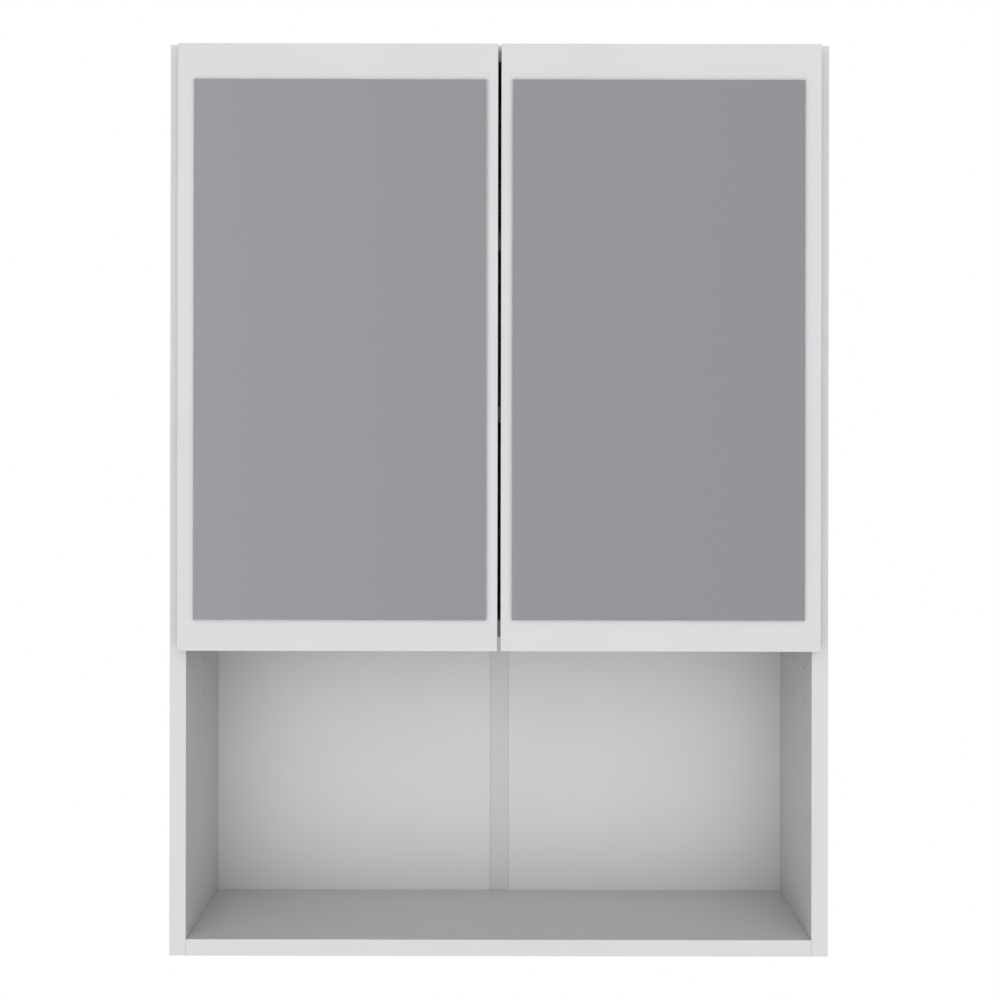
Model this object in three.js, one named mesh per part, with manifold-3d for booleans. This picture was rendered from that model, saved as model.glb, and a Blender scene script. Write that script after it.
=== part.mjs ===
// Hanging wall cabinet: a two-door mirror cabinet with an open shelf bay below.
// Millimetres. +X runs to the right seen from the front, and +Z is up.
// The doors face -Y, the wall is at Y = 0.
// The origin is the centre of the hanging rail's rear face, in the plane of the wall.
import * as THREE from 'three';
import { mergeVertices } from 'three/addons/utils/BufferGeometryUtils.js';
import Module from 'manifold-3d';

const wasm = await Module();
wasm.setup();

// ---------------------------------------------------------------- driving dimensions
const WIDTH = 600;
const HEIGHT = 830;
const DEPTH = 160;
const BOARD = 15;
const INNER_DEPTH = 142;             // front edge of the boards to the front face of the back panel
const OPEN_BAY = 276;                // clear height of the open bay under the doors
const RAIL_CENTRE_UP = 780;          // hanging rail's centre above the underside of the cabinet

const DOOR_WIDTH = 288.35;
const DOOR_HEIGHT = 547;
const DOOR_THICK = 15;
const DOOR_UP = 280;                 // lower edge of the doors above the underside of the cabinet
const DOOR_SPLIT = 2.9;              // gap between the two doors
const DOOR_STAND_OFF = 1;            // gap between the doors and the carcase edges
const DOOR_ROUND = 0.6;              // radius of the doors' front arrises

const MIRROR_WIDTH = 263.4;
const MIRROR_HEIGHT = 486;
const MIRROR_THICK = 3;
const MIRROR_OUTER_MARGIN = 15;      // from the door's outer edge to the mirror
const MIRROR_LOWER_MARGIN = 28.3;
const MIRROR_BEVEL = 0.6;            // ground arris of the glass
const TAPE_THICK = 0.4;
const TAPE_INSET = 12;               // from the mirror's edge to the foam tape behind it

const BACK_THICK = 3;
const GROOVE_DEPTH = 6;
const GROOVE_PLAY = 0.2;             // clearance on each side of a board that stands in a groove

const STRIP_FLANGE = 17.6;           // joining strip of the two back boards, an H in plan
const STRIP_WALL = 0.8;
const STRIP_WEB = 1.6;
const GROOVE_END_PLAY = 0.5;

const RAIL_THICK = 12;
const RAIL_HEIGHT = 70;
const HANGER = {
  width: 36,
  height: 60,
  thick: 2,
  fromEnd: 8,                        // from the rail's end to the plate
  screwRadius: 2.2,
  screwFromEnd: 6,
  play: 0.3,
};
const KEYHOLE = { headRadius: 5.5, neckRadius: 2.6, neckRise: 12, headRoom: 2 };

const HOLE_PITCH = 32;
const HOLE_RADIUS = 2.5;
const HOLE_DEPTH = 9;
const HOLE_SIDES = 10;
const FIRST_HOLE_UP = 260;           // one row of the 32 mm hole grid
const LOWER_BAY_COLUMNS = [30, 77];  // hole columns of the open bay, from the front edge
const UPPER_BAY_COLUMNS = [37, 112]; // hole columns behind the doors, from the front edge
const SHELF_ROWS = [7, 12];          // grid rows that carry the two adjustable shelves
const SHELF_SIDE_PLAY = 1;
const SHELF_SETBACK = 22;            // front edge of an adjustable shelf behind the carcase's front edges
const SHELF_REAR_PLAY = 2;
const FIXED_SHELF_REAR_PLAY = 0.3;

const PIN_RADIUS = 2.2;
const PIN_REACH = 7;                 // a shelf pin's length outside its hole
const PIN_COLLAR_RADIUS = 3.6;
const PIN_COLLAR_THICK = 1;
const PIN_PLAY = 0.1;                // between a collar and the board, and between a pin and its shelf
const PIN_END_PLAY = 1;              // between a pin's end and the end of its hole

const BUMPER = { radius: 4, thick: 0.9, inset: 9 };

// Concealed cup hinges. A hinge is drawn in plan: u runs inward from the door's outer edge, and w runs
// rearward from the door's rear face. The outer link carries the door and the inner link steers it.
const HINGE_HEIGHTS = [['lower', 372], ['upper', 724]];
const OUTER_LINK = { arm: [34, 8], cup: [8, -2] };
const INNER_LINK = { arm: [20.5, -9], cup: [9.6, -6.4] };
const LINK = { eye: 1.8, halfWidth: 1, hole: 1.2, looseHole: 2.3, looseEye: 3 };
const LINK_LEVELS = { outer: [1.2, 4.2], inner: [-4.2, -1.2] };
const RIVET_RADIUS = 0.95;
const RIVET_HEAD = 0.4;              // a rivet's length past its link
const RIVET_GAP = 0.3;               // between a cup rivet's inner end and the arm's nose
const NOSE_HALF = 0.8;               // half thickness of the arm's nose, which stands between the links
const ARM_CORNER = [21.8, 7.5];
const ARM = { half: 6, wall: 1.2, start: 14, end: 64, gap: 0.3, height: 9, noseRoot: [1.5, 1] };
const PLATE = {
  base: 5,                           // height of the raised base on the side board
  start: 24,
  end: 66,
  half: 6,
  wing: 2,                           // thickness of the screwed wings
  wingHalf: 27,
  wingFront: 31,
  wingRear: 43,
};
const CUP = {
  inFromEdge: 20.5,
  boreRadius: 17.5,
  boreDepth: 12.6,
  radius: 17.2,
  depth: 12.3,
  rise: 0.3,                         // the shell's rim above the door's rear face
  wall: 0.6,
  floor: 0.5,
  sides: 32,
  flangeGap: 0.2,
  flange: 1,
  flangeToEdge: 13,                  // from the cup's centre to the flange's two long edges
  flangeInward: 20,
  flangeHalf: 30,
  lug: [4.6, 6],                     // the levels of the lugs that hold the cup's rivets
  lugHalf: 1.5,
  lugSink: 0.1,                      // the lugs end this far above the underside of the shell's floor
  notch: 1.7,                        // depth of the rim's notch, which clears the links of an open door
};

// ---------------------------------------------------------------- derived places
const HALF = WIDTH / 2;
const INNER_HALF = HALF - BOARD;
const FRONT_Y = -DEPTH;
const BACK_FRONT_Y = FRONT_Y + INNER_DEPTH;
const BACK_REAR_Y = BACK_FRONT_Y + BACK_THICK;
const DOOR_REAR_Y = FRONT_Y - DOOR_STAND_OFF;
const DOOR_FRONT_Y = DOOR_REAR_Y - DOOR_THICK;
const SHELF_TOP_UP = BOARD + OPEN_BAY + BOARD;
const up = (height) => height - RAIL_CENTRE_UP;
const OVERRUN = 1;                   // a cutting tool's length past the face that it cuts

// ---------------------------------------------------------------- materials
function finish(color, roughness, metalness = 0) {
  return new THREE.MeshStandardMaterial({ color, roughness, metalness });
}

const WHITE_MELAMINE = finish(0xf1f2f3, 0.42);
const WHITE_HARDBOARD = finish(0xeceded, 0.6);
const WHITE_PLASTIC = finish(0xe6e7e8, 0.5);
const SILVERED_GLASS = finish(0xc9ced2, 0.03, 1);
const FOAM_TAPE = finish(0x8d9095, 0.9);
const NICKELLED_STEEL = finish(0xb9b8b4, 0.28, 1);
const ZINC_STEEL = finish(0xa9adb2, 0.4, 1);
const CLEAR_BUMPER = finish(0xdfe3e6, 0.3);

// ---------------------------------------------------------------- solids
function solidOf(geometry) {
  const bare = geometry.clone();
  bare.deleteAttribute('normal');
  bare.deleteAttribute('uv');
  const merged = mergeVertices(bare, 1e-4);
  const vertProperties = new Float32Array(merged.attributes.position.array);
  const triVerts = new Uint32Array(merged.index.array);
  return new wasm.Manifold(new wasm.Mesh({ numProp: 3, vertProperties, triVerts }));
}

function geometryOf(solid) {
  const mesh = solid.getMesh();
  const geometry = new THREE.BufferGeometry();
  geometry.setAttribute('position', new THREE.BufferAttribute(new Float32Array(mesh.vertProperties), 3));
  geometry.setIndex(new THREE.BufferAttribute(new Uint32Array(mesh.triVerts), 1));
  geometry.computeVertexNormals();
  return geometry;
}

function block(x, y, z) {
  const geometry = new THREE.BoxGeometry(x[1] - x[0], y[1] - y[0], z[1] - z[0]);
  geometry.translate((x[0] + x[1]) / 2, (y[0] + y[1]) / 2, (z[0] + z[1]) / 2);
  return solidOf(geometry);
}

// A round bar from one point along a direction.
function bar(start, direction, length, radius, sides = 16) {
  const geometry = new THREE.CylinderGeometry(radius, radius, length, sides);
  geometry.translate(0, length / 2, 0);
  const turn = new THREE.Quaternion().setFromUnitVectors(new THREE.Vector3(0, 1, 0), direction);
  geometry.applyQuaternion(turn);
  geometry.translate(start.x, start.y, start.z);
  return solidOf(geometry);
}

function joined(solids) {
  return solids.reduce((whole, solid) => whole.add(solid));
}

function cut(solid, tools) {
  return tools.reduce((rest, tool) => rest.subtract(tool), solid);
}

const AXIS_X = new THREE.Vector3(1, 0, 0);
const AXIS_Y = new THREE.Vector3(0, 1, 0);
const AXIS_Z = new THREE.Vector3(0, 0, 1);
const FORWARD = AXIS_Y.clone().negate();
const cabinet = new THREE.Group();

function addPiece(name, solid, material) {
  const mesh = new THREE.Mesh(geometryOf(solid), material);
  mesh.name = name;
  cabinet.add(mesh);
}

// The two hands of the cabinet: side is -1 on the left and +1 on the right.
const HANDS = [['left', -1], ['right', 1]];

function shifted(span, offset) {
  return [span[0] + offset, span[1] + offset];
}

function inset(span, margin) {
  return [span[0] + margin, span[1] - margin];
}

// The X span between two distances from the middle plane, on one hand of the cabinet.
function handSpan(side, near, far) {
  return side < 0 ? [-far, -near] : [near, far];
}

function handBlock(side, near, far, y, z) {
  return block(handSpan(side, near, far), y, z);
}

// ---------------------------------------------------------------- carcase
const grooveY = [BACK_FRONT_Y - GROOVE_PLAY, BACK_REAR_Y + GROOVE_PLAY];

function holeRows() {
  const upper = SHELF_ROWS.flatMap((row) => [row - 1, row, row + 1]);
  const lower = [0, -1];
  return [
    ...upper.flatMap((row) => UPPER_BAY_COLUMNS.map((column) => [row, column])),
    ...lower.flatMap((row) => LOWER_BAY_COLUMNS.map((column) => [row, column])),
  ];
}

function gridPoint(side, row, column) {
  const height = FIRST_HOLE_UP + row * HOLE_PITCH;
  return new THREE.Vector3(side * INNER_HALF, FRONT_Y + column, up(height));
}

function sidePanel(side) {
  const panel = handBlock(side, INNER_HALF, HALF, [FRONT_Y, 0], [up(0), up(HEIGHT)]);
  const groove = handBlock(
    side,
    INNER_HALF - OVERRUN,
    INNER_HALF + GROOVE_DEPTH,
    grooveY,
    [up(BOARD - GROOVE_DEPTH), up(HEIGHT - BOARD + GROOVE_DEPTH)],
  );
  const outward = AXIS_X.clone().multiplyScalar(side);
  const holes = holeRows().map(([row, column]) => {
    const mouth = gridPoint(side, row, column).addScaledVector(outward, -OVERRUN);
    return bar(mouth, outward, HOLE_DEPTH + OVERRUN, HOLE_RADIUS, HOLE_SIDES);
  });
  return cut(panel, [groove, ...holes]);
}

function endBoard(underside, grooveZ) {
  const board = block([-INNER_HALF, INNER_HALF], [FRONT_Y, 0], [up(underside), up(underside + BOARD)]);
  return board.subtract(block([-HALF, HALF], grooveY, grooveZ));
}

for (const [hand, side] of HANDS) {
  addPiece(`${hand}_side_panel`, sidePanel(side), WHITE_MELAMINE);
}

const lowerGrooveZ = [up(BOARD - GROOVE_DEPTH), up(BOARD + OVERRUN)];
const upperGrooveZ = [up(HEIGHT - BOARD - OVERRUN), up(HEIGHT - BOARD + GROOVE_DEPTH)];
addPiece('bottom_panel', endBoard(0, lowerGrooveZ), WHITE_MELAMINE);
addPiece('top_panel', endBoard(HEIGHT - BOARD, upperGrooveZ), WHITE_MELAMINE);

const stripFrontY = BACK_FRONT_Y - GROOVE_PLAY - STRIP_WALL;
const stripRearY = BACK_REAR_Y + GROOVE_PLAY + STRIP_WALL;
const fixedShelfRearY = stripFrontY - FIXED_SHELF_REAR_PLAY;
addPiece(
  'fixed_shelf',
  block(
    [-INNER_HALF, INNER_HALF],
    [FRONT_Y, fixedShelfRearY],
    [up(SHELF_TOP_UP - BOARD), up(SHELF_TOP_UP)],
  ),
  WHITE_MELAMINE,
);

// ---------------------------------------------------------------- back boards and their joining strip
const backZ = inset([up(BOARD - GROOVE_DEPTH), up(HEIGHT - BOARD + GROOVE_DEPTH)], GROOVE_END_PLAY);
for (const [hand, side] of HANDS) {
  const board = handBlock(
    side,
    STRIP_WEB / 2 + GROOVE_PLAY,
    INNER_HALF + GROOVE_DEPTH - GROOVE_END_PLAY,
    [BACK_FRONT_Y, BACK_REAR_Y],
    backZ,
  );
  addPiece(`back_board_${hand}`, board, WHITE_HARDBOARD);
}

const stripZ = inset([up(BOARD), up(HEIGHT - BOARD)], GROOVE_END_PLAY);
const stripHalf = STRIP_FLANGE / 2;
addPiece(
  'back_joining_strip',
  joined([
    block([-stripHalf, stripHalf], [stripFrontY, stripFrontY + STRIP_WALL], stripZ),
    block([-stripHalf, stripHalf], [stripRearY - STRIP_WALL, stripRearY], stripZ),
    block([-STRIP_WEB / 2, STRIP_WEB / 2], [stripFrontY, stripRearY], stripZ),
  ]),
  WHITE_PLASTIC,
);

// ---------------------------------------------------------------- hanging rail and hanger plates
const hangerCentre = INNER_HALF - HANGER.fromEnd - HANGER.width / 2;
const hangerZ = [-HANGER.height / 2, HANGER.height / 2];

function hangerPocket(side) {
  const half = HANGER.width / 2 + HANGER.play;
  return handBlock(
    side,
    hangerCentre - half,
    hangerCentre + half,
    [-HANGER.thick, OVERRUN],
    inset(hangerZ, -HANGER.play),
  );
}

// Room behind the keyhole for the head of the wall screw.
function headPocket(side) {
  const half = KEYHOLE.headRadius + KEYHOLE.headRoom;
  return handBlock(
    side,
    hangerCentre - half,
    hangerCentre + half,
    [-RAIL_THICK - OVERRUN, 0],
    [-half, KEYHOLE.neckRise + half],
  );
}

const railBoard = block([-INNER_HALF, INNER_HALF], [-RAIL_THICK, 0], [-RAIL_HEIGHT / 2, RAIL_HEIGHT / 2]);
addPiece(
  'hanging_rail',
  cut(railBoard, HANDS.flatMap(([, side]) => [hangerPocket(side), headPocket(side)])),
  WHITE_MELAMINE,
);

// The keyhole is wide below, where the screw head enters, and narrow above, where the neck rests.
for (const [hand, side] of HANDS) {
  const middle = side * hangerCentre;
  const plate = block(
    [middle - HANGER.width / 2, middle + HANGER.width / 2],
    [-HANGER.thick, 0],
    hangerZ,
  );
  const hole = (rise, radius, sides) => {
    const mouth = new THREE.Vector3(middle, -HANGER.thick - OVERRUN, rise);
    return bar(mouth, AXIS_Y, HANGER.thick + 2 * OVERRUN, radius, sides);
  };
  const slot = block(
    [middle - KEYHOLE.neckRadius, middle + KEYHOLE.neckRadius],
    [-HANGER.thick - OVERRUN, OVERRUN],
    [0, KEYHOLE.neckRise],
  );
  const keyhole = [hole(0, KEYHOLE.headRadius, 20), hole(KEYHOLE.neckRise, KEYHOLE.neckRadius, 16), slot];
  const screwHoles = inset(hangerZ, HANGER.screwFromEnd).map((rise) => hole(rise, HANGER.screwRadius, 12));
  addPiece(`${hand}_hanger_plate`, cut(plate, [...keyhole, ...screwHoles]), ZINC_STEEL);
}

// ---------------------------------------------------------------- adjustable shelves on their pins
function shelfPin(side, row, column) {
  const outward = AXIS_X.clone().multiplyScalar(side);
  const wall = gridPoint(side, row, column);
  const shank = bar(
    wall.clone().addScaledVector(outward, -PIN_REACH),
    outward,
    PIN_REACH + HOLE_DEPTH - PIN_END_PLAY,
    PIN_RADIUS,
    12,
  );
  const collar = bar(
    wall.clone().addScaledVector(outward, -PIN_COLLAR_THICK - PIN_PLAY),
    outward,
    PIN_COLLAR_THICK,
    PIN_COLLAR_RADIUS,
    16,
  );
  return shank.add(collar);
}

const SHELF_NAMES = ['lower', 'upper'];
SHELF_ROWS.forEach((row, index) => {
  const name = SHELF_NAMES[index];
  const underside = FIRST_HOLE_UP + row * HOLE_PITCH + PIN_RADIUS + PIN_PLAY;
  const half = INNER_HALF - SHELF_SIDE_PLAY - PIN_COLLAR_THICK;
  const shelf = block(
    [-half, half],
    [FRONT_Y + SHELF_SETBACK, stripFrontY - SHELF_REAR_PLAY],
    [up(underside), up(underside + BOARD)],
  );
  addPiece(`${name}_adjustable_shelf`, shelf, WHITE_MELAMINE);
  for (const [hand, side] of HANDS) {
    UPPER_BAY_COLUMNS.forEach((column, place) => {
      const end = place === 0 ? 'front' : 'rear';
      addPiece(`${name}_shelf_pin_${hand}_${end}`, shelfPin(side, row, column), NICKELLED_STEEL);
    });
  }
});

// ---------------------------------------------------------------- doors and mirrors
const doorZ = [up(DOOR_UP), up(DOOR_UP + DOOR_HEIGHT)];
const doorNear = DOOR_SPLIT / 2;
const doorFar = doorNear + DOOR_WIDTH;

// An upright slab between two X and two Z values, its front arris rounded or ground off by edge.
function slab(x, rearY, thick, z, edge, steps) {
  const outline = new THREE.Shape([
    new THREE.Vector2(x[0] + edge, z[0] + edge),
    new THREE.Vector2(x[1] - edge, z[0] + edge),
    new THREE.Vector2(x[1] - edge, z[1] - edge),
    new THREE.Vector2(x[0] + edge, z[1] - edge),
  ]);
  const geometry = new THREE.ExtrudeGeometry(outline, {
    depth: thick,
    bevelEnabled: true,
    bevelThickness: edge,
    bevelSize: edge,
    bevelSegments: steps,
  });
  geometry.rotateX(Math.PI / 2);
  geometry.translate(0, rearY + edge, 0);
  const room = block(inset(x, -OVERRUN), [rearY - thick, rearY], inset(z, -OVERRUN));
  return solidOf(geometry).intersect(room);
}

function doorPanel(side) {
  const panel = slab(handSpan(side, doorNear, doorFar), DOOR_REAR_Y, DOOR_THICK, doorZ, DOOR_ROUND, 3);
  const bores = HINGE_HEIGHTS.map(([, height]) => {
    const mouth = new THREE.Vector3(side * (doorFar - CUP.inFromEdge), DOOR_REAR_Y + OVERRUN, up(height));
    return bar(mouth, FORWARD, CUP.boreDepth + OVERRUN, CUP.boreRadius, CUP.sides);
  });
  return cut(panel, bores);
}

const mirrorFar = doorFar - MIRROR_OUTER_MARGIN;
const mirrorNear = mirrorFar - MIRROR_WIDTH;
const mirrorUnderside = DOOR_UP + MIRROR_LOWER_MARGIN;
const mirrorZ = [up(mirrorUnderside), up(mirrorUnderside + MIRROR_HEIGHT)];
const mirrorRearY = DOOR_FRONT_Y - TAPE_THICK;
const BUMPER_HEIGHTS = [['lower', SHELF_TOP_UP - BOARD / 2], ['upper', HEIGHT - BOARD / 2]];

for (const [hand, side] of HANDS) {
  addPiece(`${hand}_door_panel`, doorPanel(side), WHITE_MELAMINE);
  const mirrorX = handSpan(side, mirrorNear, mirrorFar);
  addPiece(
    `${hand}_mirror`,
    slab(mirrorX, mirrorRearY, MIRROR_THICK, mirrorZ, MIRROR_BEVEL, 1),
    SILVERED_GLASS,
  );
  addPiece(
    `${hand}_mirror_tape`,
    block(inset(mirrorX, TAPE_INSET), [mirrorRearY, DOOR_FRONT_Y], inset(mirrorZ, TAPE_INSET)),
    FOAM_TAPE,
  );
  const bumperX = side * (doorNear + BUMPER.inset);
  for (const [end, height] of BUMPER_HEIGHTS) {
    const seat = new THREE.Vector3(bumperX, DOOR_REAR_Y, up(height));
    const pad = bar(seat, AXIS_Y, BUMPER.thick, BUMPER.radius, 20);
    addPiece(`${hand}_door_bumper_${end}`, pad, CLEAR_BUMPER);
  }
}

// ---------------------------------------------------------------- concealed cup hinges
const BOARD_INNER_U = doorFar - INNER_HALF;

function planPoint(side, [u, w], z) {
  return new THREE.Vector3(side * (doorFar - u), DOOR_REAR_Y + w, z);
}

// A box in hinge plan coordinates.
function planBlock(side, u, w, z) {
  const y = [DOOR_REAR_Y + w[0], DOOR_REAR_Y + w[1]];
  return handBlock(side, doorFar - u[1], doorFar - u[0], y, z);
}

function upright(side, point, z, radius, sides) {
  return bar(planPoint(side, point, z[0]), AXIS_Z, z[1] - z[0], radius, sides);
}

// A straight web of even width between two points in plan.
function planStrip(side, from, to, half, z) {
  const start = planPoint(side, from, 0);
  const end = planPoint(side, to, 0);
  const along = end.clone().sub(start).normalize().multiplyScalar(half);
  const corners = [
    new THREE.Vector2(start.x - along.y, start.y + along.x),
    new THREE.Vector2(end.x - along.y, end.y + along.x),
    new THREE.Vector2(end.x + along.y, end.y - along.x),
    new THREE.Vector2(start.x + along.y, start.y - along.x),
  ];
  const geometry = new THREE.ExtrudeGeometry(new THREE.Shape(corners), {
    depth: z[1] - z[0],
    bevelEnabled: false,
  });
  geometry.translate(0, 0, z[0]);
  return solidOf(geometry);
}

function hingeLink(side, level, ends, loose) {
  const cupEye = loose ? LINK.looseEye : LINK.eye;
  const cupHole = loose ? LINK.looseHole : LINK.hole;
  const bodyParts = [
    planStrip(side, ends.arm, ends.cup, LINK.halfWidth, level),
    upright(side, ends.arm, level, LINK.eye, 16),
    upright(side, ends.cup, level, cupEye, 20),
  ];
  const through = inset(level, -OVERRUN);
  return cut(joined(bodyParts), [
    upright(side, ends.arm, through, LINK.hole, 12),
    upright(side, ends.cup, through, cupHole, 16),
  ]);
}

// The arm: a nose that holds both rivets, and a channel behind it that sits on the mounting plate.
function hingeArm(side, z) {
  const noseZ = [z - NOSE_HALF, z + NOSE_HALF];
  const channelU = [BOARD_INNER_U + PLATE.base + ARM.gap, BOARD_INNER_U + PLATE.base + ARM.height];
  const channelZ = [z - ARM.half, z + ARM.half];
  const hollow = planBlock(
    side,
    [channelU[0] - OVERRUN, channelU[1] - ARM.wall],
    [ARM.start + ARM.wall, ARM.end + OVERRUN],
    inset(channelZ, ARM.wall),
  );
  const channel = planBlock(side, channelU, [ARM.start, ARM.end], channelZ).subtract(hollow);
  const root = [channelU[1] - ARM.noseRoot[0], ARM.start + ARM.noseRoot[1]];
  return joined([
    channel,
    planStrip(side, root, ARM_CORNER, LINK.halfWidth, noseZ),
    upright(side, ARM_CORNER, noseZ, LINK.halfWidth, 12),
    planStrip(side, ARM_CORNER, OUTER_LINK.arm, LINK.halfWidth, noseZ),
    planStrip(side, ARM_CORNER, INNER_LINK.arm, LINK.halfWidth, noseZ),
    upright(side, OUTER_LINK.arm, noseZ, LINK.eye, 16),
    upright(side, INNER_LINK.arm, noseZ, LINK.eye, 16),
    upright(side, OUTER_LINK.arm, [z, z + LINK_LEVELS.outer[1] + RIVET_HEAD], RIVET_RADIUS, 12),
    upright(side, INNER_LINK.arm, [z + LINK_LEVELS.inner[0] - RIVET_HEAD, z], RIVET_RADIUS, 12),
  ]);
}

// The mounting plate: a raised base under the arm, and two screwed wings on the 32 mm grid.
function mountingPlate(side, z) {
  const wall = BOARD_INNER_U;
  const base = planBlock(
    side,
    [wall, wall + PLATE.base],
    [PLATE.start, PLATE.end],
    [z - PLATE.half, z + PLATE.half],
  );
  const wings = planBlock(
    side,
    [wall, wall + PLATE.wing],
    [PLATE.wingFront, PLATE.wingRear],
    [z - PLATE.wingHalf, z + PLATE.wingHalf],
  );
  return base.add(wings);
}

// The cup: a stamped shell in the door's bore, a flange on the door's rear face, two lugs and their rivets.
function hingeCup(side, z) {
  const rim = planPoint(side, [CUP.inFromEdge, CUP.rise], z);
  const shell = bar(rim, FORWARD, CUP.rise + CUP.depth, CUP.radius, CUP.sides);
  const flange = planBlock(
    side,
    [CUP.inFromEdge - CUP.flangeToEdge, CUP.inFromEdge + CUP.flangeInward],
    [CUP.flangeGap, CUP.flangeGap + CUP.flange],
    [z - CUP.flangeHalf, z + CUP.flangeHalf],
  );
  const flangeEnds = bar(
    planPoint(side, [CUP.inFromEdge, -OVERRUN], z),
    AXIS_Y,
    CUP.flangeGap + CUP.flange + 2 * OVERRUN,
    CUP.flangeHalf + 1,
    CUP.sides,
  );
  const hollow = bar(
    planPoint(side, [CUP.inFromEdge, CUP.flange + OVERRUN], z),
    FORWARD,
    CUP.flange + OVERRUN + CUP.depth - CUP.floor,
    CUP.radius - CUP.wall,
    CUP.sides,
  );
  const notch = planBlock(
    side,
    [CUP.inFromEdge - CUP.radius - OVERRUN, CUP.inFromEdge - CUP.flangeToEdge],
    [-CUP.notch, CUP.flangeGap + CUP.flange + OVERRUN],
    [z + LINK_LEVELS.inner[0] - RIVET_HEAD, z + LINK_LEVELS.outer[1] + RIVET_HEAD],
  );
  const lugs = [
    [OUTER_LINK.cup, [z + CUP.lug[0], z + CUP.lug[1]], [z + NOSE_HALF + RIVET_GAP, z + CUP.lug[1]]],
    [INNER_LINK.cup, [z - CUP.lug[1], z - CUP.lug[0]], [z - CUP.lug[1], z - NOSE_HALF - RIVET_GAP]],
  ].flatMap(([point, lugZ, rivetZ]) => {
    const [u, w] = point;
    const post = planBlock(side, [u - CUP.lugHalf, u + CUP.lugHalf], [-CUP.depth + CUP.lugSink, w], lugZ);
    return [
      post,
      upright(side, point, lugZ, CUP.lugHalf, 12),
      upright(side, point, rivetZ, RIVET_RADIUS, 12),
    ];
  });
  return joined([cut(shell.add(flange.intersect(flangeEnds)), [hollow, notch]), ...lugs]);
}

for (const [hand, side] of HANDS) {
  for (const [end, height] of HINGE_HEIGHTS) {
    const z = up(height);
    const name = `${hand}_${end}_hinge`;
    addPiece(`${name}_cup`, hingeCup(side, z), NICKELLED_STEEL);
    addPiece(`${name}_arm`, hingeArm(side, z), NICKELLED_STEEL);
    addPiece(`${name}_mounting_plate`, mountingPlate(side, z), NICKELLED_STEEL);
    const outerLevel = shifted(LINK_LEVELS.outer, z);
    const innerLevel = shifted(LINK_LEVELS.inner, z);
    addPiece(`${name}_outer_link`, hingeLink(side, outerLevel, OUTER_LINK, false), NICKELLED_STEEL);
    addPiece(`${name}_inner_link`, hingeLink(side, innerLevel, INNER_LINK, true), NICKELLED_STEEL);
  }
}

export default cabinet;
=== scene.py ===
import math
import random

import bmesh
import bpy
from mathutils import Matrix, Vector


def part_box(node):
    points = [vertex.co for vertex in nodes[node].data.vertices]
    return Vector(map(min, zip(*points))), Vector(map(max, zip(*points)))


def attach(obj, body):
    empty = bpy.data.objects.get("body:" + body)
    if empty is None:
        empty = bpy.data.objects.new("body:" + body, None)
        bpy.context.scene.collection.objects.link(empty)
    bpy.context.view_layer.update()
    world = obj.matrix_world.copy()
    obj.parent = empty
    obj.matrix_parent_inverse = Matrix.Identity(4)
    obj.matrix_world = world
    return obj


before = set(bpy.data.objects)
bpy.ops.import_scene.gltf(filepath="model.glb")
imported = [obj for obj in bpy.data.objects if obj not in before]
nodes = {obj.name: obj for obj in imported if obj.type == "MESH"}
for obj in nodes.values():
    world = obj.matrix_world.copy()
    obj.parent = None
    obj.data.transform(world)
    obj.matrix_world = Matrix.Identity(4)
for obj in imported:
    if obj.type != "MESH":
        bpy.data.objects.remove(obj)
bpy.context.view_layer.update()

# Hanging wall cabinet: the CAD boards, doors and hinges carry the shapes, and this script gives them
# their surfaces, edges, screws and caps. Metres, the doors face -Y, the wall is at Y = 0, +Z is up.

MM = 0.001
HANDS = (("left", -1), ("right", 1))
ENDS = ("lower", "upper")

# ---------------------------------------------------------------- places taken from the frame
SIDE_LOW, SIDE_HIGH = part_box("right_side_panel")
FRONT_Y = SIDE_LOW.y                     # front edges of the boards
WALL_Y = SIDE_HIGH.y
INNER_X = SIDE_LOW.x                     # inner face of the right side panel
UNDERSIDE_Z = SIDE_LOW.z

# ---------------------------------------------------------------- camera
CAMERA_FROM_FRONT = 1254.3 * MM
CAMERA_SIDE = 4.2 * MM
CAMERA_UP = 462.6 * MM                   # above the cabinet's underside
CAMERA_ROLL = math.radians(0.1)
LENS = 49.555
SHIFT_X = -0.0039
SHIFT_Y = -0.0515
camera_data = bpy.data.cameras.new("camera")
camera = bpy.data.objects.new("camera", camera_data)
bpy.context.scene.collection.objects.link(camera)
camera.location = (CAMERA_SIDE, FRONT_Y - CAMERA_FROM_FRONT, UNDERSIDE_Z + CAMERA_UP)
facing_wall = Matrix.Rotation(math.radians(90), 3, "X")
camera.rotation_euler = (facing_wall @ Matrix.Rotation(CAMERA_ROLL, 3, "Z")).to_euler()
camera_data.sensor_width = 36
camera_data.lens = LENS
camera_data.shift_x = SHIFT_X
camera_data.shift_y = SHIFT_Y
camera_data.clip_start = 0.01
camera_data.clip_end = 50
bpy.context.scene.camera = camera


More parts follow.
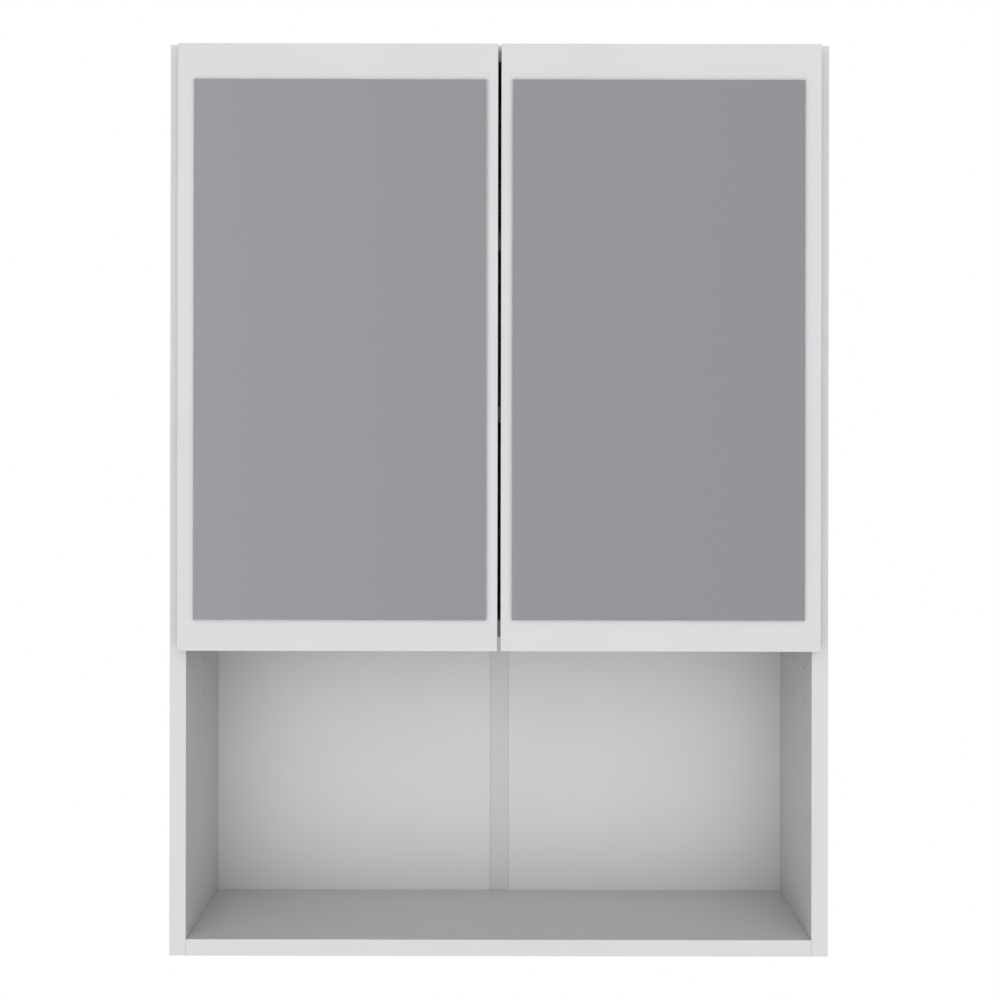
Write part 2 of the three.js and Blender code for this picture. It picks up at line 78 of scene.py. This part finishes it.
# ---------------------------------------------------------------- node helpers
class Shader:
    """A material's node tree, written one short call at a time."""

    def __init__(self, name):
        self.material = bpy.data.materials.new(name)
        self.material.use_nodes = True
        self.tree = self.material.node_tree
        self.tree.nodes.clear()
        self.output = self.tree.nodes.new("ShaderNodeOutputMaterial")
        self.bsdf = self.tree.nodes.new("ShaderNodeBsdfPrincipled")
        self.link(self.bsdf.outputs[0], self.output.inputs["Surface"])
        self.place = self.tree.nodes.new("ShaderNodeTexCoord")

    def link(self, source, target):
        self.tree.links.new(source, target)

    def put(self, target, value):
        if isinstance(value, bpy.types.NodeSocket):
            self.link(value, target)
        else:
            target.default_value = value

    def set(self, **values):
        for key, value in values.items():
            self.put(self.bsdf.inputs[key.replace("_", " ")], value)

    @property
    def coords(self):
        return self.place.outputs["Object"]

    @property
    def normal(self):
        return self.place.outputs["Normal"]

    def axis(self, vector, name):
        node = self.tree.nodes.new("ShaderNodeSeparateXYZ")
        self.link(vector, node.inputs[0])
        return node.outputs[name]

    def math(self, kind, a, b=0.0, clamp=False):
        node = self.tree.nodes.new("ShaderNodeMath")
        node.operation = kind
        node.use_clamp = clamp
        self.put(node.inputs[0], a)
        self.put(node.inputs[1], b)
        return node.outputs[0]

    def scaled(self, vector, factors):
        node = self.tree.nodes.new("ShaderNodeMapping")
        node.inputs["Scale"].default_value = factors
        self.link(vector, node.inputs["Vector"])
        return node.outputs[0]

    def noise(self, scale, detail=2.0, roughness=0.5, vector=None, distortion=0.0):
        node = self.tree.nodes.new("ShaderNodeTexNoise")
        self.link(vector or self.coords, node.inputs["Vector"])
        node.inputs["Scale"].default_value = scale
        node.inputs["Detail"].default_value = detail
        node.inputs["Roughness"].default_value = roughness
        node.inputs["Distortion"].default_value = distortion
        return node.outputs[0]

    def cells(self, scale, vector=None, output="Color"):
        node = self.tree.nodes.new("ShaderNodeTexVoronoi")
        self.link(vector or self.coords, node.inputs["Vector"])
        node.inputs["Scale"].default_value = scale
        return node.outputs[output]

    def ramp(self, value, *stops):
        """Stops are (position, grey level) or (position, (r, g, b))."""
        node = self.tree.nodes.new("ShaderNodeValToRGB")
        self.link(value, node.inputs[0])
        marks = node.color_ramp.elements
        while len(marks) < len(stops):
            marks.new(0.5)
        for mark, (position, color) in zip(marks, stops):
            mark.position = position
            rgb = color if isinstance(color, tuple) else (color, color, color)
            mark.color = (*rgb, 1)
        return node.outputs[0]

    def mix(self, factor, a, b):
        node = self.tree.nodes.new("ShaderNodeMix")
        node.data_type = "RGBA"
        self.put(node.inputs[0], factor)
        for socket, value in ((node.inputs[6], a), (node.inputs[7], b)):
            self.put(socket, (*value, 1) if isinstance(value, tuple) else value)
        return node.outputs[2]

    def span(self, value, low, high):
        """1 where value lies between low and high, else 0."""
        above = self.math("GREATER_THAN", value, low)
        below = self.math("LESS_THAN", value, high)
        return self.math("MULTIPLY", above, below)

    def bump(self, height, distance, strength=1.0, under=None):
        node = self.tree.nodes.new("ShaderNodeBump")
        node.inputs["Distance"].default_value = distance
        node.inputs["Strength"].default_value = strength
        self.link(height, node.inputs["Height"])
        if under is not None:
            self.link(under, node.inputs["Normal"])
        self.link(node.outputs[0], self.bsdf.inputs["Normal"])
        return node.outputs[0]


WHITE = (0.490, 0.4945, 0.501)           # the boards, inside and out
BOARD_SHEEN = 0.25
STRIP_TONE = (0.425, 0.428, 0.431)
CHIP_TONES = ((0.0, (0.20, 0.135, 0.08)), (0.45, (0.32, 0.233, 0.147)), (1.0, (0.43, 0.343, 0.24)))


def toned(color, factor):
    return tuple(min(1, c * factor) for c in color)


def melamine(name, raw_rear=None, band_front=None):
    """White melamine: a fine pearl, a faint cloud in tone and gloss, and raw chipboard on a rear edge.

    band_front is the Y of an edge-banded front edge, where the band's joint shows as a hairline."""
    s = Shader(name)
    cloud = s.noise(9, 3)
    pearl = s.noise(1400, 1)
    grain = s.noise(240, 2)
    color = s.mix(s.ramp(cloud, (0.35, 0.0), (0.65, 1.0)), toned(WHITE, 0.985), toned(WHITE, 1.012))
    roughness = s.ramp(grain, (0.3, 0.36), (0.7, 0.44))
    y = s.axis(s.coords, "Y")
    height = s.math("ADD", s.math("MULTIPLY", pearl, 0.7), s.math("MULTIPLY", grain, 0.6))
    if band_front is not None:
        joint = s.span(y, band_front + 0.75 * MM, band_front + 0.9 * MM)
        color = s.mix(s.math("MULTIPLY", joint, 0.35), color, (0.42, 0.41, 0.40))
    if raw_rear is not None:
        edge = s.math("GREATER_THAN", y, raw_rear - 0.25 * MM)
        facing = s.math("GREATER_THAN", s.axis(s.normal, "Y"), 0.7)
        raw = s.math("MULTIPLY", edge, facing)
        chips = s.cells(420, s.scaled(s.coords, (1, 1, 0.45)))
        tone_of_chip = s.math("ADD", s.math("MULTIPLY", chips, 0.7), s.math("MULTIPLY", s.noise(900, 3), 0.3))
        color = s.mix(raw, color, s.ramp(tone_of_chip, *CHIP_TONES))
        roughness = s.mix(raw, roughness, (0.9, 0.9, 0.9))
        height = s.math("ADD", height, s.math("MULTIPLY", s.math("MULTIPLY", raw, tone_of_chip), 4.0))
    s.set(Base_Color=color, Roughness=roughness)
    s.bump(height, 0.02 * MM)
    s.bsdf.inputs["Specular IOR Level"].default_value = BOARD_SHEEN
    return s.material


LACQUER = (0.475, 0.4775, 0.4815)


def hardboard(name, front_y):
    """Lacquered white in front, bare brown fibre behind."""
    s = Shader(name)
    y = s.axis(s.coords, "Y")
    behind = s.math("GREATER_THAN", y, front_y + 0.5 * MM)
    fibre = s.noise(700, 4, 0.6, s.scaled(s.coords, (1, 1, 0.35)))
    screen = s.noise(60, 3)
    brown = s.mix(s.ramp(fibre, (0.3, 0.0), (0.75, 1.0)), (0.141, 0.08, 0.043), (0.245, 0.153, 0.086))
    print_of_screen = s.math("MULTIPLY", s.ramp(screen, (0.4, 0.0), (0.7, 1.0)), 0.35)
    brown = s.mix(print_of_screen, brown, (0.184, 0.11, 0.061))
    lacquer = s.mix(s.ramp(s.noise(14, 3), (0.3, 0.0), (0.7, 1.0)), toned(LACQUER, 0.98), LACQUER)
    s.set(Base_Color=s.mix(behind, lacquer, brown))
    s.set(Roughness=s.mix(behind, s.ramp(s.noise(300, 2), (0.3, 0.42), (0.7, 0.52)), (0.85, 0.85, 0.85)))
    surface = s.noise(500, 2)
    felt = s.math("MULTIPLY", s.math("MULTIPLY", behind, fibre), 3.0)
    s.bump(s.math("ADD", surface, felt), 0.02 * MM)
    return s.material


def plastic(name, tone, rough=(0.38, 0.5), bump=0.012):
    s = Shader(name)
    lines = s.noise(260, 2, 0.5, s.scaled(s.coords, (1, 1, 0.02)))
    dark = tuple(c * 0.97 for c in tone)
    s.set(Base_Color=s.mix(s.ramp(s.noise(30, 3), (0.3, 0.0), (0.7, 1.0)), dark, tone))
    s.set(Roughness=s.ramp(lines, (0.3, rough[0]), (0.7, rough[1])))
    s.bump(s.math("ADD", lines, s.math("MULTIPLY", s.noise(1800, 1), 0.4)), bump * MM)
    return s.material


def mirror(name):
    """Silvered glass seen from the front, ground pale green glass on its edges, dark paint behind."""
    s = Shader(name)
    ny = s.axis(s.normal, "Y")
    face = s.math("LESS_THAN", ny, -0.5)
    rear = s.math("GREATER_THAN", ny, 0.9)
    frost = s.ramp(s.noise(900, 3), (0.3, 0.0), (0.7, 1.0))
    edge_tone = s.mix(frost, (0.58, 0.63, 0.61), (0.70, 0.74, 0.725))
    color = s.mix(face, edge_tone, (0.875, 0.885, 0.89))
    color = s.mix(rear, color, (0.17, 0.18, 0.19))
    ground = s.ramp(s.noise(1200, 2), (0.3, 0.3), (0.7, 0.5))
    polish = s.ramp(s.noise(3, 2), (0.3, 0.012), (0.7, 0.022))
    s.set(Base_Color=color, Metallic=face, Roughness=s.mix(face, ground, polish))
    s.bump(s.noise(4, 1), 0.02 * MM, 0.3)
    return s.material


def foam(name):
    s = Shader(name)
    pores = s.cells(2600, output="Distance")
    s.set(Base_Color=s.mix(s.ramp(pores, (0.2, 0.0), (0.6, 1.0)), (0.10, 0.10, 0.11), (0.22, 0.22, 0.23)))
    s.set(Roughness=s.ramp(pores, (0.2, 0.95), (0.6, 0.8)))
    s.bump(pores, 0.1 * MM)
    return s.material


def steel(name, tone, rough, brush, worn=0.5):
    """Plated steel: rolling lines along Z and a slight stain."""
    s = Shader(name)
    lines = s.noise(900, 3, 0.6, s.scaled(s.coords, brush))
    stain = s.noise(70, 4, 0.6)
    dark = tuple(c * 0.86 for c in tone)
    s.set(Base_Color=s.mix(s.ramp(stain, (0.35, 0.0), (0.7, 1.0)), dark, tone), Metallic=1.0)
    mixed = s.math("ADD", s.math("MULTIPLY", lines, worn), s.math("MULTIPLY", stain, 1 - worn))
    s.set(Roughness=s.ramp(mixed, (0.3, rough[0]), (0.7, rough[1])))
    s.bump(lines, 0.008 * MM, 0.6)
    return s.material


def clear_rubber(name):
    s = Shader(name)
    haze = s.ramp(s.noise(120, 2), (0.3, 0.0), (0.7, 1.0))
    s.set(Base_Color=s.mix(haze, (0.74, 0.77, 0.78), (0.82, 0.84, 0.85)))
    s.set(Roughness=s.ramp(s.noise(900, 1), (0.3, 0.22), (0.7, 0.34)))
    s.bsdf.inputs["Transmission Weight"].default_value = 0.35
    s.bump(s.noise(500, 1), 0.01 * MM)
    return s.material


SHELF_LOW, SHELF_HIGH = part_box("upper_adjustable_shelf")
BACK_FRONT_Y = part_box("back_board_left")[0].y
MELAMINE_BOARD = melamine("melamine_board", WALL_Y, FRONT_Y)
MELAMINE_SHELF = melamine("melamine_shelf", SHELF_HIGH.y, SHELF_LOW.y)
MELAMINE_FIXED = melamine("melamine_fixed_shelf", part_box("fixed_shelf")[1].y, FRONT_Y)
MELAMINE_RAIL = melamine("melamine_rail")
MELAMINE_DOOR = melamine("melamine_door")
BACK_BOARD = hardboard("back_hardboard", BACK_FRONT_Y)
STRIP_PLASTIC = plastic("strip_plastic", STRIP_TONE)
CAP_PLASTIC = plastic("cap_plastic", (0.475, 0.478, 0.481), (0.3, 0.4))
MIRROR = mirror("silvered_glass")
FOAM = foam("foam_tape")
NICKEL = steel("nickel_plate", (0.74, 0.73, 0.70), (0.16, 0.3), (1, 1, 0.05))
ZINC = steel("zinc_plate", (0.62, 0.645, 0.67), (0.3, 0.5), (1, 1, 0.1), 0.3)
BUMPER = clear_rubber("clear_bumper")


# ---------------------------------------------------------------- materials and edges of the CAD nodes
def dress(name, material, bevel, segments=2):
    """Gives a CAD node its material, and breaks its sharp arrises by a small round."""
    piece = nodes[name]
    piece.data.materials.clear()
    piece.data.materials.append(material)
    weld = piece.modifiers.new("weld", "WELD")
    weld.merge_threshold = 0.002 * MM
    if bevel:
        edge = piece.modifiers.new("arris", "BEVEL")
        edge.width = bevel * MM
        edge.segments = segments
        edge.limit_method = "ANGLE"
        edge.angle_limit = math.radians(50)
        edge.use_clamp_overlap = True
    even = piece.modifiers.new("even_shading", "WEIGHTED_NORMAL")
    even.mode = "FACE_AREA"
    even.weight = 100
    for polygon in piece.data.polygons:
        polygon.use_smooth = True


def dress_all():
    for name in nodes:
        if "hinge" in name:
            dress(name, NICKEL, 0.12)
        elif "shelf_pin" in name:
            dress(name, NICKEL, 0.15)
        elif "hanger_plate" in name:
            dress(name, ZINC, 0.2)
        elif "bumper" in name:
            dress(name, BUMPER, 0.3, 3)
        elif "tape" in name:
            dress(name, FOAM, 0.15)
        elif "mirror" in name:
            dress(name, MIRROR, 0)
        elif "door_panel" in name:
            dress(name, MELAMINE_DOOR, 0.3)
        elif "back_board" in name:
            dress(name, BACK_BOARD, 0.15)
        elif name == "back_joining_strip":
            dress(name, STRIP_PLASTIC, 0.35, 3)
        elif "adjustable_shelf" in name:
            dress(name, MELAMINE_SHELF, 0.5)
        elif name == "fixed_shelf":
            dress(name, MELAMINE_FIXED, 0.4)
        elif name == "hanging_rail":
            dress(name, MELAMINE_RAIL, 0.3)
        else:
            dress(name, MELAMINE_BOARD, 0.45)


dress_all()


# ---------------------------------------------------------------- added pieces
def smoothed(mesh, sharp=35):
    """Smooth faces, with a crease wherever two of them meet at more than this angle in degrees."""
    bmesh.ops.recalc_face_normals(mesh, faces=mesh.faces)
    for face in mesh.faces:
        face.smooth = True
    for edge in mesh.edges:
        edge.smooth = edge.calc_face_angle(0) < math.radians(sharp)


def data_of(name, mesh):
    data = bpy.data.meshes.new(name)
    mesh.to_mesh(data)
    mesh.free()
    return data


def lathe(profile, sides):
    """A surface of revolution about Z, through (radius, height) points in millimetres."""
    mesh = bmesh.new()
    rings = []
    for radius, height in profile:
        count = sides if radius else 1
        angles = [2 * math.pi * i / sides for i in range(count)]
        around = [(radius * math.cos(a) * MM, radius * math.sin(a) * MM, height * MM) for a in angles]
        rings.append([mesh.verts.new(point) for point in around])
    for low, high in zip(rings, rings[1:]):
        for i in range(sides):
            j = (i + 1) % sides
            corners = [low[i % len(low)], low[j % len(low)], high[j % len(high)], high[i % len(high)]]
            mesh.faces.new(dict.fromkeys(corners))
    return mesh


def prism(outline, low, high):
    """An outline in X and Y, raised from one height to another, in millimetres."""
    mesh = bmesh.new()
    floor = [mesh.verts.new((x * MM, y * MM, low * MM)) for x, y in outline]
    roof = [mesh.verts.new((x * MM, y * MM, high * MM)) for x, y in outline]
    mesh.faces.new(floor)
    mesh.faces.new(roof)
    for i in range(len(outline)):
        j = (i + 1) % len(outline)
        mesh.faces.new((floor[i], floor[j], roof[j], roof[i]))
    bmesh.ops.recalc_face_normals(mesh, faces=mesh.faces)
    return mesh


def carved(name, body, tools):
    """The mesh of one solid less some others."""
    whole = bpy.data.objects.new("carving", data_of("carving", body))
    bpy.context.scene.collection.objects.link(whole)
    cutters = []
    for tool in tools:
        cutter = bpy.data.objects.new("cutter", data_of("cutter", tool))
        bpy.context.scene.collection.objects.link(cutter)
        step = whole.modifiers.new("cut", "BOOLEAN")
        step.object = cutter
        step.operation = "DIFFERENCE"
        cutters.append(cutter)
    depsgraph = bpy.context.evaluated_depsgraph_get()
    result = bmesh.new()
    result.from_object(whole, depsgraph)
    smoothed(result)
    for scrap in (whole, *cutters):
        scrap_mesh = scrap.data
        bpy.data.objects.remove(scrap)
        bpy.data.meshes.remove(scrap_mesh)
    return data_of(name, result)


def cross(reach, half, low, high):
    """A cross recess: two tapering bars, wider at the top."""
    bars = []
    for turn in (0, 90):
        mesh = prism([(-reach, -half), (reach, -half), (reach, half), (-reach, half)], low, high)
        for vertex in mesh.verts:
            if vertex.co.z < (low + 0.01) * MM:
                vertex.co.x *= 0.45
                vertex.co.y *= 0.6
        bmesh.ops.rotate(mesh, verts=mesh.verts, matrix=Matrix.Rotation(math.radians(turn), 3, "Z"))
        bars.append(mesh)
    return bars


def screw_mesh():
    """A pan-head screw of 6.4 mm, standing on Z = 0."""
    profile = [
        (0, -0.3), (3.2, -0.3), (3.2, 0.35), (3.08, 0.8),
        (2.7, 1.2), (2.0, 1.48), (1.1, 1.6), (0, 1.62),
    ]
    return carved("screw_head", lathe(profile, 28), cross(1.75, 0.42, 0.35, 2.2))


def flush_screw_mesh():
    """A countersunk screw of 6 mm: a flat head with a rounded rim."""
    profile = [(0, -1.2), (1.6, -1.2), (2.85, -0.2), (3.0, -0.05), (2.9, 0.03), (2.6, 0.06), (0, 0.06)]
    return carved("flush_screw", lathe(profile, 28), cross(1.7, 0.42, -0.9, 0.6))


def cap_mesh():
    """A press-in cover cap of 17 mm over a cam lock: a shallow dome with a thumbnail notch in its rim."""
    profile = [
        (0, -0.4), (8.1, -0.4), (8.5, -0.05), (8.5, 0.35), (8.2, 0.72),
        (7.4, 0.95), (5.0, 1.12), (2.4, 1.2), (0, 1.22),
    ]
    notch = prism([(7.2, -1.1), (9.5, -1.1), (9.5, 1.1), (7.2, 1.1)], 0.45, 2.0)
    return carved("cover_cap", lathe(profile, 40), [notch])


def wedge_mesh():
    """A corner block that presses the back board forward: two flanges and three ribs, 26 mm long on Z."""
    outline = [(0, 0), (12, 0), (11.8, 1.6), (1.6, 11.8), (0, 12)]
    pockets = [prism([(1.6, 1.6), (14, 1.6), (14, 14), (1.6, 14)], low, low + 9.8) for low in (-11.4, 1.6)]
    return carved("wedge", prism(outline, -13, 13), pockets)


def clip_mesh():
    """The release clip at the rear of a hinge arm: a bent tongue with a finger rim."""
    side = [
        (0, 0.2), (0, -1.0), (4.6, -1.5), (7.2, -3.4), (8.4, -3.6),
        (8.6, -2.6), (7.6, -2.3), (5.0, -0.5), (1.6, 0.3),
    ]
    mesh = prism(side, -4.2, 4.2)
    smoothed(mesh, 40)
    return data_of("release_clip", mesh)


def add(name, data, material, body, place, out, across, spin=0.0, size=1.0):
    """Puts a mesh at a place in metres, its Z along out, its X along across, turned by spin degrees."""
    piece = bpy.data.objects.new(name, data)
    if not data.materials:
        data.materials.append(material)
    bpy.context.scene.collection.objects.link(piece)
    up, right = Vector(out), Vector(across)
    turn = Matrix((right, up.cross(right), up)).transposed() @ Matrix.Rotation(math.radians(spin), 3, "Z")
    piece.matrix_world = Matrix.Translation(place) @ turn.to_4x4() @ Matrix.Scale(size, 4)
    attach(piece, body)
    return piece


def add_screw(name, data, material, body, place, out, size=1.0):
    """A screw head whose recess stands at an angle of its own."""
    across = (0, 0, 1) if out[2] == 0 else (1, 0, 0)
    return add(name, data, material, body, place, out, across, rng.uniform(0, 90), size)


def arris(piece, width, segments=2, angle=40):
    edge = piece.modifiers.new("arris", "BEVEL")
    edge.width = width * MM
    edge.segments = segments
    edge.limit_method = "ANGLE"
    edge.angle_limit = math.radians(angle)
    return piece


SCREW = screw_mesh()
FLUSH_SCREW = flush_screw_mesh()
CAP = cap_mesh()
WEDGE = wedge_mesh()
CLIP = clip_mesh()
rng = random.Random(7)


def hinge_details(hand, side, end):
    prefix = f"{hand}_{end}_hinge"
    cup_low, cup_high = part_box(f"{prefix}_cup")
    arm_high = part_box(f"{prefix}_arm")[1]
    plate_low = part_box(f"{prefix}_mounting_plate")[0]
    middle = (cup_low.z + cup_high.z) / 2
    cup_x = side * (max(abs(cup_low.x), abs(cup_high.x)) - 23.2 * MM)
    wing_x = side * (INNER_X - 2 * MM)
    arm_x = side * (INNER_X - 14 * MM)
    inward = (-side, 0, 0)
    for step, mark in ((-1, "low"), (1, "high")):
        place = (cup_x, cup_high.y, middle + step * 24 * MM)
        name = f"{prefix}_cup_screw_{mark}"
        add_screw(name, SCREW, NICKEL, f"{hand}_door", place, (0, 1, 0))
        place = (wing_x, plate_low.y + 13 * MM, middle + step * 16 * MM)
        add_screw(f"{prefix}_plate_screw_{mark}", SCREW, NICKEL, "carcase", place, inward)
    for back, mark in ((34, "adjuster"), (12, "clamp")):
        place = (arm_x, arm_high.y - back * MM, middle)
        add_screw(f"{prefix}_{mark}_screw", SCREW, NICKEL, "carcase", place, inward, 0.86)
    place = (side * (INNER_X - 8.5 * MM), arm_high.y - 1.5 * MM, middle)
    name = f"{prefix}_release_clip"
    clip = add(name, CLIP, NICKEL, "carcase", place, (0, 0, -side), (0, 1, 0))
    arris(clip, 0.25)


def cover_caps():
    """Caps over the cam locks that draw the level boards against the sides."""
    boards = (
        ("top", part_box("top_panel")[1].z, 1),
        ("bottom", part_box("bottom_panel")[0].z, -1),
        ("shelf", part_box("fixed_shelf")[1].z, 1),
    )
    for hand, side in HANDS:
        for inward, mark in ((32, "front"), (118, "rear")):
            for board, z, way in boards:
                place = (side * (INNER_X - 34 * MM), FRONT_Y + inward * MM, z)
                name = f"{board}_cover_cap_{hand}_{mark}"
                spin = rng.uniform(0, 360)
                add(name, CAP, CAP_PLASTIC, "carcase", place, (0, 0, way), (1, 0, 0), spin)


def back_wedges():
    """Ribbed plastic corner blocks behind the back boards, each screwed to its side panel."""
    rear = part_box("back_board_left")[1].y
    for hand, side in HANDS:
        inward = (-side, 0, 0)
        for height, mark in ((120, "low"), (330, "middle"), (560, "high")):
            corner = Vector((side * INNER_X, rear, UNDERSIDE_Z + height * MM))
            name = f"back_wedge_{hand}_{mark}"
            wedge = add(name, WEDGE, CAP_PLASTIC, "carcase", corner, (0, 0, -side), inward)
            arris(wedge, 0.3)
            place = corner + Vector((-side * 1.6, 6.6, 6.5)) * MM
            add_screw(f"{name}_screw", SCREW, ZINC, "carcase", place, inward, 0.8)


def hanger_screws():
    for hand, _ in HANDS:
        low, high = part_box(f"{hand}_hanger_plate")
        for z, mark in ((low.z + 6 * MM, "low"), (high.z - 6 * MM, "high")):
            place = ((low.x + high.x) / 2, high.y - 0.15 * MM, z)
            name = f"{hand}_hanger_screw_{mark}"
            add_screw(name, FLUSH_SCREW, ZINC, "carcase", place, (0, 1, 0), 0.72)


for hand, side in HANDS:
    for end in ENDS:
        hinge_details(hand, side, end)
cover_caps()
back_wedges()
hanger_screws()


# ---------------------------------------------------------------- stage and light
LOBE = 2.0                               # how tightly the light gathers round the axis from front to back
FRONT_LIGHT = 2.10                       # along that axis, on top of the even light
BASE_LIGHT = 0.43
SIDE_LIGHT = 0.10                        # how much more light comes from the left than from the right
FLOOR_DROP = 800 * MM                    # the floor below the hanging cabinet
FLOOR_RADIUS = 1650 * MM


def floor():
    """A pale round floor that fades out at its rim."""
    s = Shader("pale_floor")
    patches = s.noise(6, 4)
    s.set(Base_Color=s.mix(s.ramp(patches, (0.3, 0.0), (0.7, 1.0)), (0.82, 0.82, 0.82), (0.84, 0.84, 0.84)))
    s.set(Roughness=s.ramp(s.noise(180, 2), (0.3, 0.55), (0.7, 0.7)))
    s.bump(s.noise(400, 2), 0.05 * MM)
    away = s.tree.nodes.new("ShaderNodeVectorMath")
    away.operation = "LENGTH"
    s.link(s.coords, away.inputs[0])
    s.set(Alpha=s.ramp(s.math("DIVIDE", away.outputs["Value"], FLOOR_RADIUS), (0.45, 1.0), (0.98, 0.0)))
    mesh = bmesh.new()
    bmesh.ops.create_circle(mesh, cap_ends=True, segments=96, radius=FLOOR_RADIUS)
    slab = bpy.data.objects.new("floor", data_of("floor", mesh))
    slab.data.materials.append(s.material)
    slab.location = (0, 0, UNDERSIDE_Z - FLOOR_DROP)
    bpy.context.scene.collection.objects.link(slab)


class World:
    """The studio's light: soft, mostly from front and back, with plain greys to reflect."""

    def __init__(self):
        world = bpy.data.worlds.new("studio")
        bpy.context.scene.world = world
        world.use_nodes = True
        self.tree = world.node_tree
        self.tree.nodes.clear()
        way = self.tree.nodes.new("ShaderNodeTexCoord")
        self.way = self.tree.nodes.new("ShaderNodeSeparateXYZ")
        self.tree.links.new(way.outputs["Generated"], self.way.inputs[0])
        self.path = self.tree.nodes.new("ShaderNodeLightPath")

    def steps(self, start, *steps):
        chain = start
        for kind, value in steps:
            node = self.tree.nodes.new("ShaderNodeMath")
            node.operation = kind
            node.inputs[1].default_value = value
            self.tree.links.new(chain, node.inputs[0])
            chain = node.outputs[0]
        return chain

    def ramp(self, value, *stops):
        node = self.tree.nodes.new("ShaderNodeValToRGB")
        self.tree.links.new(value, node.inputs[0])
        marks = node.color_ramp.elements
        while len(marks) < len(stops):
            marks.new(0.5)
        for mark, (position, color) in zip(marks, stops):
            mark.position = position
            mark.color = (*color, 1)
        return node.outputs[0]

    def background(self, color, strength=None):
        node = self.tree.nodes.new("ShaderNodeBackground")
        if isinstance(color, tuple):
            node.inputs["Color"].default_value = (*color, 1)
        else:
            self.tree.links.new(color, node.inputs["Color"])
        if strength is not None:
            self.tree.links.new(strength, node.inputs["Strength"])
        return node.outputs[0]

    def switch(self, ray, a, b):
        node = self.tree.nodes.new("ShaderNodeMixShader")
        self.tree.links.new(self.path.outputs[ray], node.inputs[0])
        self.tree.links.new(a, node.inputs[1])
        self.tree.links.new(b, node.inputs[2])
        return node.outputs[0]


def light():
    w = World()
    front = w.steps(
        w.way.outputs["Y"],
        ("ABSOLUTE", 0.0), ("POWER", LOBE), ("MULTIPLY", FRONT_LIGHT), ("ADD", BASE_LIGHT),
    )
    skew = w.steps(w.way.outputs["X"], ("MULTIPLY", -SIDE_LIGHT))
    both = w.tree.nodes.new("ShaderNodeMath")
    w.tree.links.new(front, both.inputs[0])
    w.tree.links.new(skew, both.inputs[1])
    soft = w.background((0.985, 0.992, 1.0), both.outputs[0])
    across = w.steps(w.way.outputs["X"], ("ADD", 1.0), ("MULTIPLY", 0.5))
    greys = w.ramp(
        across,
        (0.38, (0.376, 0.3815, 0.398)),
        (0.5, (0.346, 0.351, 0.362)),
        (0.62, (0.330, 0.334, 0.3445)),
    )
    height = w.steps(w.way.outputs["Z"], ("ADD", 1.0), ("MULTIPLY", 0.5))
    shades = ((0.0, 0.5), (0.33, 0.92), (0.44, 1.0), (0.65, 1.0), (0.8, 1.7), (0.95, 2.4))
    glow = w.ramp(height, *((position, (shade, shade, shade)) for position, shade in shades))
    glossy = w.background(greys, glow)
    studio = w.switch("Is Glossy Ray", soft, glossy)
    seen = w.switch("Is Camera Ray", studio, w.background((1.0, 1.0, 1.0)))
    output = w.tree.nodes.new("ShaderNodeOutputWorld")
    w.tree.links.new(seen, output.inputs[0])


floor()
light()
bpy.context.scene.view_settings.view_transform = "Standard"
bpy.context.scene.view_settings.look = "None"
